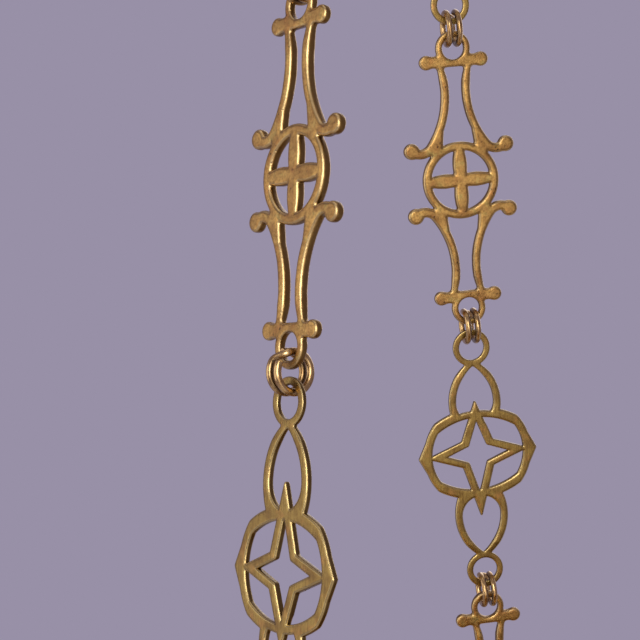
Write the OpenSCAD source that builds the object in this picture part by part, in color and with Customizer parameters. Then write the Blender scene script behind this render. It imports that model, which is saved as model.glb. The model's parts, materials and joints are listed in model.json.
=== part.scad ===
// Hanging oil lamp on three chains of pierced brass links and two-turn split rings.
// Millimetres, +Z up, origin at the centre of the hanger eye's hole.

/* [Suspension] */
// Distance from the dome out to the chains' upper holes
crown_lug_out = 5; // [4:0.5:8]
// Distance from the bowl's mouth out to the chains' lower holes
bowl_lug_out = 14; // [12:0.5:17]
// Height from a lug's seat to the centre of its hole
lug_drop = 18; // [16:0.5:24]

/* [Cross link] */
// Half the distance between the two eye holes
cross_eye_v = 54; // [50:0.5:60]
// Radius of the eye hole
cross_hole_r = 4.5; // [4.3:0.1:5.2]
// Outer radius of the eye
cross_eye_r = 7.2; // [6.8:0.1:8]
// Thickness of the plate
cross_t = 3; // [2.4:0.1:3.2]
// Distance of the cross arm below the eye hole's centre
cross_arm_drop = 5.1; // [4.5:0.1:6]
// Width of the cross arm
cross_arm_w = 4.8; // [4:0.1:5.4]
// Distance of each lobe from the centre line
cross_lobe_u = 11.4; // [10:0.1:13]
// Radius of each lobe
cross_lobe_r = 3; // [2.8:0.1:3.6]
// Distance of the waist below the eye hole's centre
cross_waist_drop = 17.6; // [15:0.1:20]
// Half the spacing of the two bars at the waist
cross_waist_u = 4.4; // [3.8:0.1:5.4]
// Width of the bars
cross_bar_w = 2.9; // [2.4:0.1:3.2]
// Outer radius of the middle circle
cross_circle_r = 15.7; // [14:0.1:17]
// Width of the middle circle's band
cross_band_w = 3; // [2.4:0.1:3.6]
// Widest part of the four petals
cross_petal_w = 5.4; // [4.4:0.1:6.2]
// Width of the petals where they meet the centre and the band
cross_petal_end_w = 3.3; // [2.6:0.1:3.8]
// Angle of the bar's foot round the middle circle
cross_foot_angle = 51; // [48:0.5:54]
// Height of the bar's foot above the middle circle
cross_foot_rise = 2.9; // [2.4:0.1:3.2]
// Half the angle of the middle circle that the foot's web takes up
cross_web_span = 10.5; // [8:0.5:13]
// Angle along the bar over which the web widens it
cross_web_rise = 13; // [9:0.5:16]
// Bend radius of the hooks
cross_hook_r = 5.7; // [5.2:0.1:6.4]
// Angle that the hooks turn through
cross_hook_turn = 95; // [80:1:110]
// Width of the hooks
cross_hook_w = 3.4; // [2.9:0.1:4]
// Radius of the ball that ends each hook
cross_ball_r = 3; // [2.6:0.1:3.4]

/* [Star link] */
// Eye hole's distance from the middle, on the long half
star_long_v = 52.4; // [50:0.2:56]
// Eye hole's distance from the middle, on the short half
star_short_v = 46.5; // [44:0.2:49]
// Radius of the eye hole
star_hole_r = 5.3; // [5:0.1:6]
// Outer radius of the eye
star_eye_r = 8; // [7.6:0.1:8.8]
// Thickness of the plate
star_t = 1.8; // [1.5:0.1:2.4]
// Outer radius of the middle ring at its sides
star_ring_r = 23.2; // [22:0.1:24]
// Width of the middle ring's band at its sides
star_band_w = 3; // [2.4:0.1:3.6]
// Half the height of the opening in the middle ring
star_flat_v = 16.2; // [15:0.1:17.5]
// Bend radius of that opening above and below
star_flat_r = 30; // [26:0.5:36]
// Width of the middle ring's band above and below
star_flat_w = 3.7; // [3:0.1:4.4]
// Distance of the ring's side points from the centre line
star_point_u = 25.6; // [24:0.1:28]
// Depth to which the flat flanks of the side points cut into the ring
star_flank_cut = 0.3; // [0.2:0.1:0.6]
// Least width of the band left between the ring's inside and a drop
star_neck_w = 2.4; // [1.6:0.1:2.8]
// Half the width of the long drop
star_long_drop_u = 11.3; // [10:0.1:12.5]
// Height at which the long drop is widest
star_long_drop_v = 27.4; // [25:0.1:30]
// Half the width of the short drop
star_short_drop_u = 11; // [10:0.1:12.5]
// Height at which the short drop is widest
star_short_drop_v = 22.6; // [21:0.1:25]
// Width of the drops' walls
star_drop_w = 2.6; // [2.2:0.1:3]
// Height of the spike on the long half
star_long_spike = 27.9; // [25:0.1:30]
// Height of the spike on the short half
star_short_spike = 23.2; // [22:0.1:26]
// Half width of the star's body, at its inner corners
star_corner_u = 6.6; // [6:0.1:7.4]
// Half height of the star's body, at its inner corners
star_corner_v = 5.6; // [5:0.1:6.4]
// Half width of the hollow sawn out of the star, at its inner corners
star_hollow_u = 4.1; // [3.4:0.1:4.6]
// Half height of that hollow, at its inner corners
star_hollow_v = 3.9; // [3.2:0.1:4.4]
// Length of the solid tip at each side
star_tip_side = 7.5; // [6.5:0.1:8.5]
// Length of the solid tip on the long half
star_tip_long = 10; // [9:0.1:12]
// Length of the solid tip on the short half
star_tip_short = 7.9; // [6.5:0.1:9]

/* [Split ring] */
// Diameter of the wire
wire_d = 2.5; // [2:0.1:2.8]
// Mean radius of the turns
ring_r = 6.4; // [6:0.1:7]
// Free gap between the two turns
turn_gap = 1.5; // [1.2:0.05:1.7]
// Half the angle over which the wire steps from one turn to the other
step_angle = 18; // [16:1:30]
// Angle left free between the step and each cut end
cut_angle = 6; // [5:1:12]
// Angle round the ring at which the wire steps over
step_place = 130; // [0:5:355]

/* [Lugs] */
// Radius of the lug's hole
lug_hole_r = 5.6; // [5.3:0.1:6.2]
// Outer radius of the lug's eye
lug_eye_r = 9; // [8.6:0.1:10]
// Thickness of the lug's plate
lug_t = 2.6; // [2.2:0.1:3]
// Width of the lug's tongue and foot
lug_w = 12; // [10:0.5:14]
// Length of the lug's foot
lug_foot = 14; // [12.5:0.5:16]
// Radius of the rivet's shank
rivet_r = 1.9; // [1.5:0.1:2.3]
// Radius of the rivet's head
rivet_head_r = 3.6; // [3.2:0.1:4]
// Height of the rivet's head
rivet_head_h = 1.8; // [1.4:0.1:2.2]
// Metal left between the rivet's head and the end of the foot
rivet_edge = 1; // [0.5:0.1:1.5]

/* [Hanger] */
// Radius of the hole that goes over the ceiling hook
hanger_hole_r = 9; // [7:0.5:11]
// Outer radius of the hanger eye
hanger_eye_r = 16; // [15:0.5:19]
// Thickness of the hanger eye
hanger_t = 9; // [7:0.5:11]
// Radius of the hanger eye's foot where it meets the collar
hanger_foot_r = 7.2; // [6:0.1:8.5]
// Depth to which that foot is rooted in the collar
foot_root = 1; // [0.5:0.1:2]
// Radius of the stem that the crown turns on
stem_r = 5; // [4:0.1:6]
// Radius of the collar above the crown
collar_r = 10.5; // [9:0.5:13]
// Height of the collar above the crown
collar_h = 9; // [7:0.5:12]
// Outer radius of the washer under the crown
washer_r = 11; // [10:0.5:13]
// Thickness of the washer
washer_t = 2; // [1.5:0.1:2.5]
// Radius to the corners of the hexagon nut
nut_r = 9.2; // [8:0.1:10]
// Height of the nut
nut_h = 8; // [6:0.5:10]
// Length of stem showing below the nut
stem_end = 3; // [2:0.5:5]

/* [Crown] */
// Outer radius of the dome
dome_r = 44; // [42:0.5:48]
// Thickness of the dome's wall
dome_t = 2; // [1.6:0.1:2.6]
// Radius of the hub at the dome's top
hub_r = 13; // [12:0.5:15]
// Height of the hub
hub_h = 14; // [12:0.5:18]
// Width of the crown's flange outside the dome
flange_w = 18; // [17:0.5:22]
// Thickness of the crown's flange
flange_t = 2.5; // [2:0.1:3.5]
// Radius of the bead round a rim
bead_r = 2.6; // [2:0.1:3.2]

/* [Bowl] */
// Inner radius of the bowl at its mouth
bowl_r = 139; // [125:0.5:155]
// Inner depth of the bowl
bowl_depth = 92; // [80:1:115]
// Thickness of the bowl's wall
bowl_t = 1.8; // [1.4:0.1:2.6]
// Width of the rim ring outside the mouth
rim_reach = 26; // [24:0.5:32]
// Width of the rim ring that reaches in over the mouth
rim_inset = 7; // [5:0.5:10]
// Thickness of the rim ring
rim_t = 3; // [2.5:0.1:4]
// Height of the step under the rim ring, which the bowl's edge sits in
rim_step_h = 1.8; // [1.4:0.1:2.6]
// Radius of the bead over the seam round the bowl's belly
belly_bead_r = 1.6; // [1.2:0.1:1.7]
// Depth of that seam below the mouth
belly_drop = 44; // [40:1:50]
// Radius of the flat pad at the bowl's bottom
pad_r = 17; // [15:0.5:20]
// Thickness of the flat pad
pad_t = 4; // [3.5:0.1:6]
// Radius of the finial's stud
stud_r = 4; // [3:0.1:5]
// Radius to the corners of the stud's nut
stud_nut_r = 7.5; // [7:0.1:9]
// Height of the stud's nut
stud_nut_h = 6; // [5:0.5:8]
// Length of stud showing above its nut
stud_end = 2; // [1:0.5:4]
// Radius of the finial's seat under the bowl
finial_seat_r = 16; // [14:0.5:18]
// Height of the finial's seat
finial_seat_h = 5; // [4:0.5:8]
// Radius of the finial's ball
finial_r = 14; // [12:0.5:18]
// Radius of the small ball at the finial's tip
finial_tip_r = 7; // [5:0.5:9]
// Distance of the small ball's centre below the large ball
finial_tip_drop = 4.5; // [3:0.5:6]

/* [Oil cup] */
// Width of the cover plate that rests on the rim ring
cover_lap = 6; // [4:0.5:8]
// Thickness of the cover plate
cover_t = 1.6; // [1.2:0.1:2.2]
// Height by which the cover plate rises towards the glass
cover_rise = 9; // [4:0.5:14]
// Width of the flats beside the lip and round the collar
cover_flat_w = 5; // [3:0.5:8]
// Depth of the locating lip under the cover plate
cover_lip_h = 5; // [3:0.5:8]
// Thickness of that lip
cover_lip_t = 2; // [1.6:0.1:3]
// Outer radius of the glass just below its rim
glass_r = 44; // [40:0.5:50]
// Outer radius of the glass at its bottom
glass_foot_r = 34; // [28:0.5:38]
// Depth of the glass below its rim
glass_h = 76; // [60:1:80]
// Thickness of the glass wall
glass_t = 3; // [2.5:0.1:4]
// Thickness of the glass bottom
glass_base_t = 5; // [4:0.1:7]
// Width of the rim that the glass hangs by
glass_rim_w = 5; // [4:0.1:7]
// Height of that rim
glass_rim_h = 4; // [3:0.1:6]
// Height of the collar that the glass hangs in
cup_collar_h = 8; // [6:0.5:12]
// Thickness of that collar
cup_collar_t = 2; // [1.6:0.1:3]
// Width of the wick bridge
bridge_w = 11; // [10:0.5:14]
// Thickness of the wick bridge
bridge_t = 1.2; // [1:0.1:1.8]
// Length of the bridge's turned down ends
bridge_lip = 6; // [4:0.5:8]
// Radius of the wick
wick_r = 2.8; // [2:0.1:3.5]
// Wall of the wick tube
tube_t = 1; // [0.8:0.1:1.4]
// Height of the wick tube above the bridge
tube_up = 8; // [6:0.5:12]
// Depth of the wick tube below the bridge
tube_down = 22; // [15:0.5:30]
// Height of the wick above its tube
wick_up = 6; // [4:0.5:9]
// Depth of the wick below its tube
wick_down = 34; // [25:0.5:40]

/* [Fits] */
// Room between pieces that move on each other
run_clear = 0.3; // [0.2:0.05:0.4]
// Room round fixed pins, studs and rivets
fix_clear = 0.1; // [0.05:0.05:0.2]
// Angle that a link can turn in its rings before it touches
twist_room = 13; // [10:1:16]

/* [Hidden] */
$fn = 96;
CHAINS = ["front", "right", "left"];
CHAIN_ANGLE = [270, 30, 150];
// The star links hang with their long half up or down, as they were strung.
STAR_LONG_UP = [true, true, false];
LINKS = ["cross", "star", "cross", "star", "cross"];
RING_COUNT = len(LINKS) + 1;

crown_lug_r = dome_r + crown_lug_out;
flange_r = dome_r + flange_w;
bowl_lug_r = bowl_r + bowl_lug_out;
rim_r = bowl_r + rim_reach;
rim_in_r = bowl_r - rim_inset;
cover_r = rim_in_r + cover_lap;
wire_r = wire_d / 2;
turn_pitch = wire_d + turn_gap;
STEP_PARTS = 4;
WIRE_SAMPLES = 144;

// Eye hole, plate and length of each kind of link, with the lug as a kind of its own.
function hole_of(kind) = kind == "cross" ? cross_hole_r : kind == "star" ? star_hole_r : lug_hole_r;
function plate_of(kind) = kind == "cross" ? cross_t : kind == "star" ? star_t : lug_t;
function span_of(kind) = kind == "cross" ? 2 * cross_eye_v : star_long_v + star_short_v;

// Distance from a hole's centre to the wire's centre line: two wires side by side in a round hole.
function side_room(kind) = turn_pitch / 2 / cos(twist_room) + plate_of(kind) / 2 * tan(twist_room);
function bend_room(kind) = ring_r - sqrt(pow(ring_r, 2) - pow(plate_of(kind) / 2, 2));
function seat(kind) =
    sqrt(pow(hole_of(kind) - wire_r - run_clear, 2) - pow(side_room(kind), 2)) - bend_room(kind);

// Places along a chain, measured down from the crown lug's hole.
function above(i) = i == 0 ? "lug" : LINKS[i - 1];
function top_eye(i) = ring_at(i) + ring_r + seat(LINKS[i]);
function low_eye(i) = top_eye(i) + span_of(LINKS[i]);
function ring_at(i) = (i == 0 ? 0 : low_eye(i - 1)) + seat(above(i)) + ring_r;
function link_at(c, i) = top_eye(i)
    + (LINKS[i] == "cross" ? cross_eye_v : STAR_LONG_UP[c] ? star_long_v : star_short_v);
chain_length = ring_at(RING_COUNT - 1) + ring_r + seat("lug");
lean = asin((bowl_lug_r - crown_lug_r) / chain_length);

// Heights, from the hanger eye down.
collar_top = -hanger_eye_r;
collar_bottom = collar_top - collar_h;
hub_top = collar_bottom - run_clear;
hub_bottom = hub_top - hub_h;
washer_top = hub_bottom - run_clear;
nut_top = washer_top - washer_t;
stem_bottom = nut_top - nut_h - stem_end;
dome_z = hub_top - hub_h / 2 - sqrt(pow(dome_r, 2) - pow(hub_r, 2));
crown_seat_z = dome_z - flange_t;
crown_hole_z = crown_seat_z - lug_drop;
bowl_hole_z = crown_hole_z - chain_length * cos(lean);
rim_z = bowl_hole_z - lug_drop;
lip_z = rim_z - rim_t;
mouth_z = lip_z - rim_step_h;
bowl_curve = (pow(bowl_r, 2) + pow(bowl_depth, 2)) / (2 * bowl_depth);
bowl_centre_z = mouth_z + bowl_curve - bowl_depth;
pad_z = bowl_centre_z - bowl_curve;
belly_z = mouth_z - belly_drop;
belly_slope = asin((bowl_centre_z - belly_z) / (bowl_curve + bowl_t));
rim_step_r = sqrt(pow(bowl_curve + bowl_t, 2) - pow(bowl_centre_z - lip_z, 2)) + fix_clear;

// The lug's foot and its rivet, measured out from the lug's hole.
foot_shift = lug_drop * tan(lean);
foot_start = -foot_shift - lug_t / 2;
rivet_at = foot_start + lug_foot - rivet_head_r - rivet_edge;
crown_rivet_r = crown_lug_r + rivet_at;
bowl_rivet_r = bowl_lug_r - rivet_at;

// Oil cup
cover_top = rim_z + cover_rise + cover_t;
lip_out_r = rim_in_r - 2 * run_clear;
lip_in_r = lip_out_r - cover_lip_t;
cup_hole_r = glass_r + run_clear;
cup_collar_top = cover_top + cup_collar_h;
glass_top = cup_collar_top + glass_rim_h;
glass_rim_r = glass_r + glass_rim_w;
bridge_top = glass_top + bridge_t;
bridge_half = glass_rim_r + run_clear;
tube_in_r = wick_r + run_clear;
tube_r = tube_in_r + tube_t;
wick_top = bridge_top + tube_up + wick_up;
wick_bottom = glass_top - tube_down - wick_down;

brass = "#A8823F";
pale_brass = "#B39A52";
bronze = "#8F5F37";

// Least gap of a split ring's wire to itself, on points along its whole run.
function wire_angle(k) =
    step_angle + cut_angle + k * (720 - 2 * step_angle - 2 * cut_angle) / WIRE_SAMPLES;
function wire_shift(a) =
    turn_pitch * (a < 360 - step_angle ? 0.5 : a > 360 + step_angle ? -0.5 : (360 - a) / step_angle / 2);
function wire_point(a) = [ring_r * cos(a), ring_r * sin(a), wire_shift(a)];
wire_run = [for (k = [0 : WIRE_SAMPLES]) wire_angle(k)];
self_gap = min([for (a = wire_run) for (b = wire_run) if (b - a > 90)
    norm(wire_point(a) - wire_point(b))]) - wire_d;
echo(least_gap_of_a_split_ring_to_itself = self_gap);

// Puts a piece on a chain: x along the tangent, y up the chain, z outwards through the plate.
module on_chain(c, s) {
    rotate([0, 0, CHAIN_ANGLE[c] - 270])
        translate([0, -crown_lug_r - s * sin(lean), crown_hole_z - s * cos(lean)])
            rotate([90 - lean, 0, 0])
                children();
}

// Puts a piece at a chain's angle: -y outwards, z up.
module at_chain(c) {
    rotate([0, 0, CHAIN_ANGLE[c] - 270])
        children();
}

// Repeats a piece half a turn round, for both ends of a link or strip.
module both_ends() {
    for (a = [0, 180])
        rotate(a)
            children();
}

function ray(a) = [cos(a), sin(a)];

// A bent bar in the plane, from one angle to another about the origin, turning less than half round.
module bent_bar(r, w, from, to) {
    reach = 2 * (r + w);
    middle = (from + to) / 2;
    intersection() {
        difference() {
            circle(r + w / 2);
            circle(r - w / 2);
        }
        polygon([
            [0, 0],
            reach * ray(from),
            reach * ray(middle),
            reach * ray(to)
        ]);
    }
}

// A pointed oval about the origin, upright, from two arcs of one radius.
module pointed_oval(half_w, r) {
    intersection() {
        translate([half_w - r, 0])
            circle(r);
        translate([r - half_w, 0])
            circle(r);
    }
}

// A circle about the origin, flattened above and below by arcs of a larger radius.
module flat_round(r, half_v, bend_r) {
    intersection() {
        circle(r);
        rotate(90)
            pointed_oval(half_v, bend_r);
    }
}

module cross_petals() {
    inside = cross_circle_r - cross_band_w;
    bow = (cross_petal_w - cross_petal_end_w) / 2;
    petal_curve = (pow(inside / 2, 2) + pow(bow, 2)) / (2 * bow);
    intersection() {
        circle(inside + cross_band_w / 2);
        for (a = [0 : 90 : 270])
            rotate(a)
                translate([0, inside / 2])
                    pointed_oval(cross_petal_w / 2, petal_curve);
    }
}

// One quarter of the cross link's bars: the bar, the web at its foot and the hook with its ball.
module cross_quarter() {
    foot_r = cross_circle_r + cross_foot_rise;
    foot = foot_r * ray(cross_foot_angle);
    waist_v = cross_eye_v - cross_waist_drop;
    rise = waist_v - foot[1];
    spread = foot[0] - cross_waist_u;
    bend_r = (pow(rise, 2) + pow(spread, 2)) / (2 * spread);
    top_angle = asin((cross_waist_drop - cross_arm_drop) / bend_r);
    foot_angle = 180 + asin(rise / bend_r);
    ball_angle = foot_angle + cross_hook_turn;
    bar_centre = [cross_waist_u + bend_r, waist_v];
    hook_in = cross_bar_w / 2 + cross_hook_r - cross_hook_w / 2;
    hook_centre = foot - hook_in * ray(foot_angle);
    band_r = cross_circle_r - cross_band_w / 4;
    translate(bar_centre)
        bent_bar(bend_r, cross_bar_w, 180 - top_angle, foot_angle);
    polygon([
        bar_centre + (bend_r + cross_bar_w / 2) * ray(foot_angle - cross_web_rise),
        band_r * ray(cross_foot_angle + cross_web_span),
        band_r * ray(cross_foot_angle - cross_web_span),
        hook_centre + cross_hook_r * ray(foot_angle + cross_web_rise),
        foot
    ]);
    translate(hook_centre) {
        bent_bar(cross_hook_r, cross_hook_w, foot_angle, ball_angle);
        translate(cross_hook_r * ray(ball_angle))
            circle(cross_ball_r);
    }
}

module cross_outline() {
    difference() {
        union() {
            difference() {
                circle(cross_circle_r);
                circle(cross_circle_r - cross_band_w);
            }
            cross_petals();
            both_ends() {
                cross_quarter();
                mirror([1, 0])
                    cross_quarter();
                translate([0, cross_eye_v])
                    circle(cross_eye_r);
                translate([0, cross_eye_v - cross_arm_drop]) {
                    square([2 * cross_lobe_u, cross_arm_w], center = true);
                    both_ends()
                        translate([cross_lobe_u, 0])
                            circle(cross_lobe_r);
                }
            }
        }
        both_ends()
            translate([0, cross_eye_v])
                circle(cross_hole_r);
    }
}

module cross_link() {
    color(brass)
        linear_extrude(cross_t, center = true)
            cross_outline();
}

// Radius of the arcs that bound a drop's opening, from its point to its widest height.
function drop_curve(eye_v, wide_v, half_w) =
    let (h = eye_v - star_eye_r - wide_v, w = half_w - star_drop_w) (h * h + w * w) / (2 * w);

// One half of the star link, pointing up: the drop's outside with its eye.
module star_half(eye_v, wide_v, half_w) {
    translate([0, wide_v])
        pointed_oval(half_w, drop_curve(eye_v, wide_v, half_w) + star_drop_w);
    translate([0, eye_v])
        circle(star_eye_r);
}

// What is sawn out of one half: the eye hole and the drop's opening, pointed above and round below.
module star_half_cut(eye_v, wide_v, half_w) {
    open_u = half_w - star_drop_w;
    difference() {
        translate([0, wide_v]) {
            circle(open_u);
            intersection() {
                pointed_oval(open_u, drop_curve(eye_v, wide_v, half_w));
                translate([-2 * open_u, 0])
                    square([4 * open_u, eye_v]);
            }
        }
        flat_round(star_ring_r, star_flat_v + star_neck_w, star_flat_r + star_neck_w);
    }
    translate([0, eye_v])
        circle(star_hole_r);
}

// A four-pointed star with its side points, its long and short points and its inner corners.
module four_points(side, long, short, corner) {
    polygon([
        [side, 0],
        corner,
        [0, long],
        [-corner[0], corner[1]],
        [-side, 0],
        -corner,
        [0, -short],
        [corner[0], -corner[1]]
    ]);
}

module star_outline() {
    inside = star_ring_r - star_band_w;
    side = inside + star_band_w / 2;
    corner = [star_corner_u, star_corner_v];
    flank_r = star_ring_r - star_flank_cut;
    flank = flank_r * flank_r / star_point_u;
    flank_v = sqrt(pow(flank_r, 2) - pow(flank, 2));
    difference() {
        union() {
            flat_round(star_ring_r, star_flat_v + star_flat_w, star_flat_r + star_flat_w);
            both_ends()
                polygon([[star_point_u, 0], [flank, flank_v], [flank, -flank_v]]);
            star_half(star_long_v, star_long_drop_v, star_long_drop_u);
            rotate(180)
                star_half(star_short_v, star_short_drop_v, star_short_drop_u);
        }
        flat_round(inside, star_flat_v, star_flat_r);
        star_half_cut(star_long_v, star_long_drop_v, star_long_drop_u);
        rotate(180)
            star_half_cut(star_short_v, star_short_drop_v, star_short_drop_u);
    }
    difference() {
        four_points(side, star_long_spike, star_short_spike, corner);
        four_points(side - star_tip_side, star_long_spike - star_tip_long,
            star_short_spike - star_tip_short, [star_hollow_u, star_hollow_v]);
    }
}

module star_link(long_up) {
    color(pale_brass)
        linear_extrude(star_t, center = true)
            rotate(long_up ? 0 : 180)
                star_outline();
}

// The stretch of wire that steps from one turn to the other, as short straight runs.
module wire_step() {
    angles = [for (k = [0 : STEP_PARTS]) step_angle * (2 * k / STEP_PARTS - 1)];
    places = [for (a = angles) wire_point(360 + a)];
    for (k = [0 : STEP_PARTS]) {
        translate(places[k])
            sphere(wire_r + fix_clear / 4);
        if (k < STEP_PARTS) {
            run = places[k + 1] - places[k];
            translate(places[k])
                rotate([0, acos(run[2] / norm(run)), atan2(run[1], run[0])])
                    cylinder(r = wire_r, h = norm(run));
        }
    }
}

// A two-turn split ring about the tangent, with its step near the top and a cut end beside it.
module split_ring() {
    sweep = 360 - 2 * step_angle - cut_angle;
    color(bronze)
        rotate([0, 90, 0])
            rotate(step_place) {
                translate([0, 0, turn_pitch / 2])
                    rotate(step_angle + cut_angle)
                        rotate_extrude(angle = sweep)
                            translate([ring_r, 0])
                                circle(wire_r);
                translate([0, 0, -turn_pitch / 2])
                    rotate(step_angle)
                        rotate_extrude(angle = sweep)
                            translate([ring_r, 0])
                                circle(wire_r);
                wire_step();
            }
}

// A bent lug about the centre of its hole, as it hangs under the crown: -y outwards, z up.
module lug() {
    color(brass)
        difference() {
            union() {
                intersection() {
                    rotate([90 - lean, 0, 0])
                        linear_extrude(lug_t, center = true) {
                            circle(lug_eye_r);
                            translate([-lug_w / 2, 0])
                                square([lug_w, 2 * lug_drop]);
                        }
                    translate([-lug_drop, -lug_drop, -lug_drop])
                        cube(2 * lug_drop);
                }
                translate([-lug_w / 2, -foot_start - lug_foot, lug_drop - lug_t])
                    cube([lug_w, lug_foot, lug_t]);
            }
            rotate([90 - lean, 0, 0])
                cylinder(r = lug_hole_r, h = 3 * lug_t, center = true);
            translate([0, -rivet_at, lug_drop - lug_t])
                cylinder(r = rivet_r + fix_clear, h = 3 * lug_t, center = true);
        }
}

module crown_lug(c) {
    at_chain(c)
        translate([0, -crown_lug_r, crown_hole_z])
            lug();
}

module bowl_lug(c) {
    at_chain(c)
        translate([0, -bowl_lug_r, bowl_hole_z])
            rotate([180, 0, 0])
                lug();
}

// A rivet with a domed head at each end; its grip runs up from the origin.
module rivet(grip) {
    head_curve = (pow(rivet_head_r, 2) + pow(rivet_head_h, 2)) / (2 * rivet_head_h);
    cylinder(r = rivet_r, h = grip);
    for (up = [0, 1])
        translate([0, 0, up * grip])
            mirror([0, 0, 1 - up])
                intersection() {
                    translate([0, 0, rivet_head_h - head_curve])
                        sphere(head_curve);
                    cylinder(r = 2 * rivet_head_r, h = rivet_head_h);
                }
}

module crown_rivets() {
    color(brass)
        for (c = [0 : len(CHAINS) - 1])
            at_chain(c)
                translate([0, -crown_rivet_r, crown_seat_z - lug_t])
                    rivet(flange_t + lug_t);
}

module bowl_rivets() {
    color(brass)
        for (c = [0 : len(CHAINS) - 1])
            at_chain(c)
                translate([0, -bowl_rivet_r, mouth_z])
                    rivet(rim_step_h + rim_t + lug_t);
}

module rivet_holes(r, z) {
    for (c = [0 : len(CHAINS) - 1])
        at_chain(c)
            translate([0, -r, z])
                cylinder(r = rivet_r + fix_clear, h = 4 * rivet_head_r, center = true);
}

// The eye that goes over a hook, with the collar and the stem that carries the crown.
module hanger_eye() {
    color(brass)
        difference() {
            union() {
                rotate([90, 0, 0])
                    cylinder(r = hanger_eye_r, h = hanger_t, center = true);
                translate([0, 0, stem_bottom])
                    cylinder(r = stem_r, h = collar_top - stem_bottom);
                rotate_extrude()
                    intersection() {
                        translate([0, (collar_top + collar_bottom) / 2]) {
                            translate([collar_r - collar_h / 2, 0])
                                circle(collar_h / 2);
                            translate([0, -collar_h / 2])
                                square([collar_r - collar_h / 2, collar_h]);
                        }
                        translate([0, collar_bottom])
                            square([2 * collar_r, collar_h]);
                    }
                translate([0, 0, collar_top - foot_root])
                    cylinder(r1 = hanger_foot_r, r2 = hanger_t / 2, h = hanger_eye_r - hanger_hole_r);
            }
            rotate([90, 0, 0])
                cylinder(r = hanger_hole_r, h = 2 * hanger_eye_r, center = true);
        }
}

module swivel_washer() {
    color(brass)
        translate([0, 0, nut_top])
            difference() {
                cylinder(r = washer_r, h = washer_t);
                translate([0, 0, -washer_t])
                    cylinder(r = stem_r + fix_clear, h = 3 * washer_t);
            }
}

module hex_nut(corner_r, h, bore_r) {
    difference() {
        cylinder(r = corner_r, h = h, $fn = 6);
        translate([0, 0, -h])
            cylinder(r = bore_r, h = 3 * h);
    }
}

module swivel_nut() {
    color(brass)
        translate([0, 0, nut_top - nut_h])
            hex_nut(nut_r, nut_h, stem_r + fix_clear);
}

// A spun dome with a turned hub, and a flat flange with a beaded edge for the lugs.
module crown_canopy() {
    color(brass)
        difference() {
            rotate_extrude() {
                intersection() {
                    translate([0, dome_z])
                        difference() {
                            circle(dome_r);
                            circle(dome_r - dome_t);
                        }
                    translate([stem_r + 2 * run_clear, crown_seat_z])
                        square([2 * dome_r, hub_top - crown_seat_z]);
                }
                translate([stem_r + run_clear, hub_bottom])
                    square([hub_r - stem_r - run_clear, hub_h]);
                translate([dome_r - dome_t, crown_seat_z])
                    square([flange_r - dome_r + dome_t, flange_t]);
                translate([flange_r, crown_seat_z + flange_t / 2])
                    circle(bead_r);
            }
            rivet_holes(crown_rivet_r, crown_seat_z);
        }
}

// The bowl's wall between two heights, part of a ball, as an outline to be spun.
module bowl_outline(low, high) {
    intersection() {
        translate([0, bowl_centre_z])
            difference() {
                circle(bowl_curve + bowl_t);
                circle(bowl_curve);
            }
        translate([0, low])
            square([2 * bowl_r, high - low]);
    }
}

// The upper half of the spun bowl; its top edge sits in the rim ring's step.
module bowl_wall() {
    color(brass)
        rotate_extrude()
            bowl_outline(belly_z, lip_z);
}

// The lower half of the spun bowl, with a flat pad at its bottom for the finial's stud.
module bowl_dish() {
    color(brass)
        difference() {
            rotate_extrude() {
                bowl_outline(pad_z - 2 * bowl_t, belly_z);
                translate([0, pad_z - pad_t / 2])
                    square([pad_r, pad_t]);
            }
            translate([0, 0, pad_z])
                cylinder(r = stud_r + fix_clear, h = 4 * pad_t, center = true);
        }
}

// A half round wire soldered over the seam between the bowl's halves.
module belly_bead() {
    color(brass)
        rotate_extrude()
            translate([0, bowl_centre_z])
                rotate(-belly_slope)
                    translate([bowl_curve + bowl_t, 0])
                        intersection() {
                            circle(belly_bead_r);
                            translate([fix_clear, -belly_bead_r])
                                square(2 * belly_bead_r);
                        }
}

// A flat ring on the bowl's edge, stepped below, with a beaded rim; the lugs stand on it.
module rim_ring() {
    color(brass)
        difference() {
            rotate_extrude() {
                translate([rim_in_r, lip_z])
                    square([rim_r - rim_in_r, rim_t]);
                translate([rim_step_r, mouth_z])
                    square([rim_r - rim_step_r, rim_step_h + rim_t]);
                intersection() {
                    translate([rim_r, lip_z + rim_t / 2])
                        circle(bead_r);
                    translate([rim_in_r, lip_z])
                        square([2 * rim_r, 2 * bead_r]);
                }
            }
            rivet_holes(bowl_rivet_r, lip_z);
        }
}

// A turned drop under the bowl: seat, neck, ball and tip, with a stud up through the pad.
module bottom_finial() {
    seat_z = pad_z - pad_t / 2;
    ball_z = seat_z - finial_seat_h - finial_r;
    tip_z = ball_z - finial_r - finial_tip_drop;
    neck_r = finial_r / 2;
    color(brass) {
        translate([0, 0, seat_z - finial_seat_h])
            cylinder(r = finial_seat_r, h = finial_seat_h);
        translate([0, 0, ball_z])
            cylinder(r = neck_r, h = seat_z - finial_seat_h / 2 - ball_z);
        translate([0, 0, ball_z])
            sphere(finial_r);
        translate([0, 0, tip_z])
            sphere(finial_tip_r);
        translate([0, 0, seat_z - finial_seat_h / 2])
            cylinder(r = stud_r, h = finial_seat_h / 2 + pad_t + stud_nut_h + stud_end);
    }
}

module finial_nut() {
    color(brass)
        translate([0, 0, pad_z + pad_t / 2])
            hex_nut(stud_nut_r, stud_nut_h, stud_r + fix_clear);
}

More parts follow.
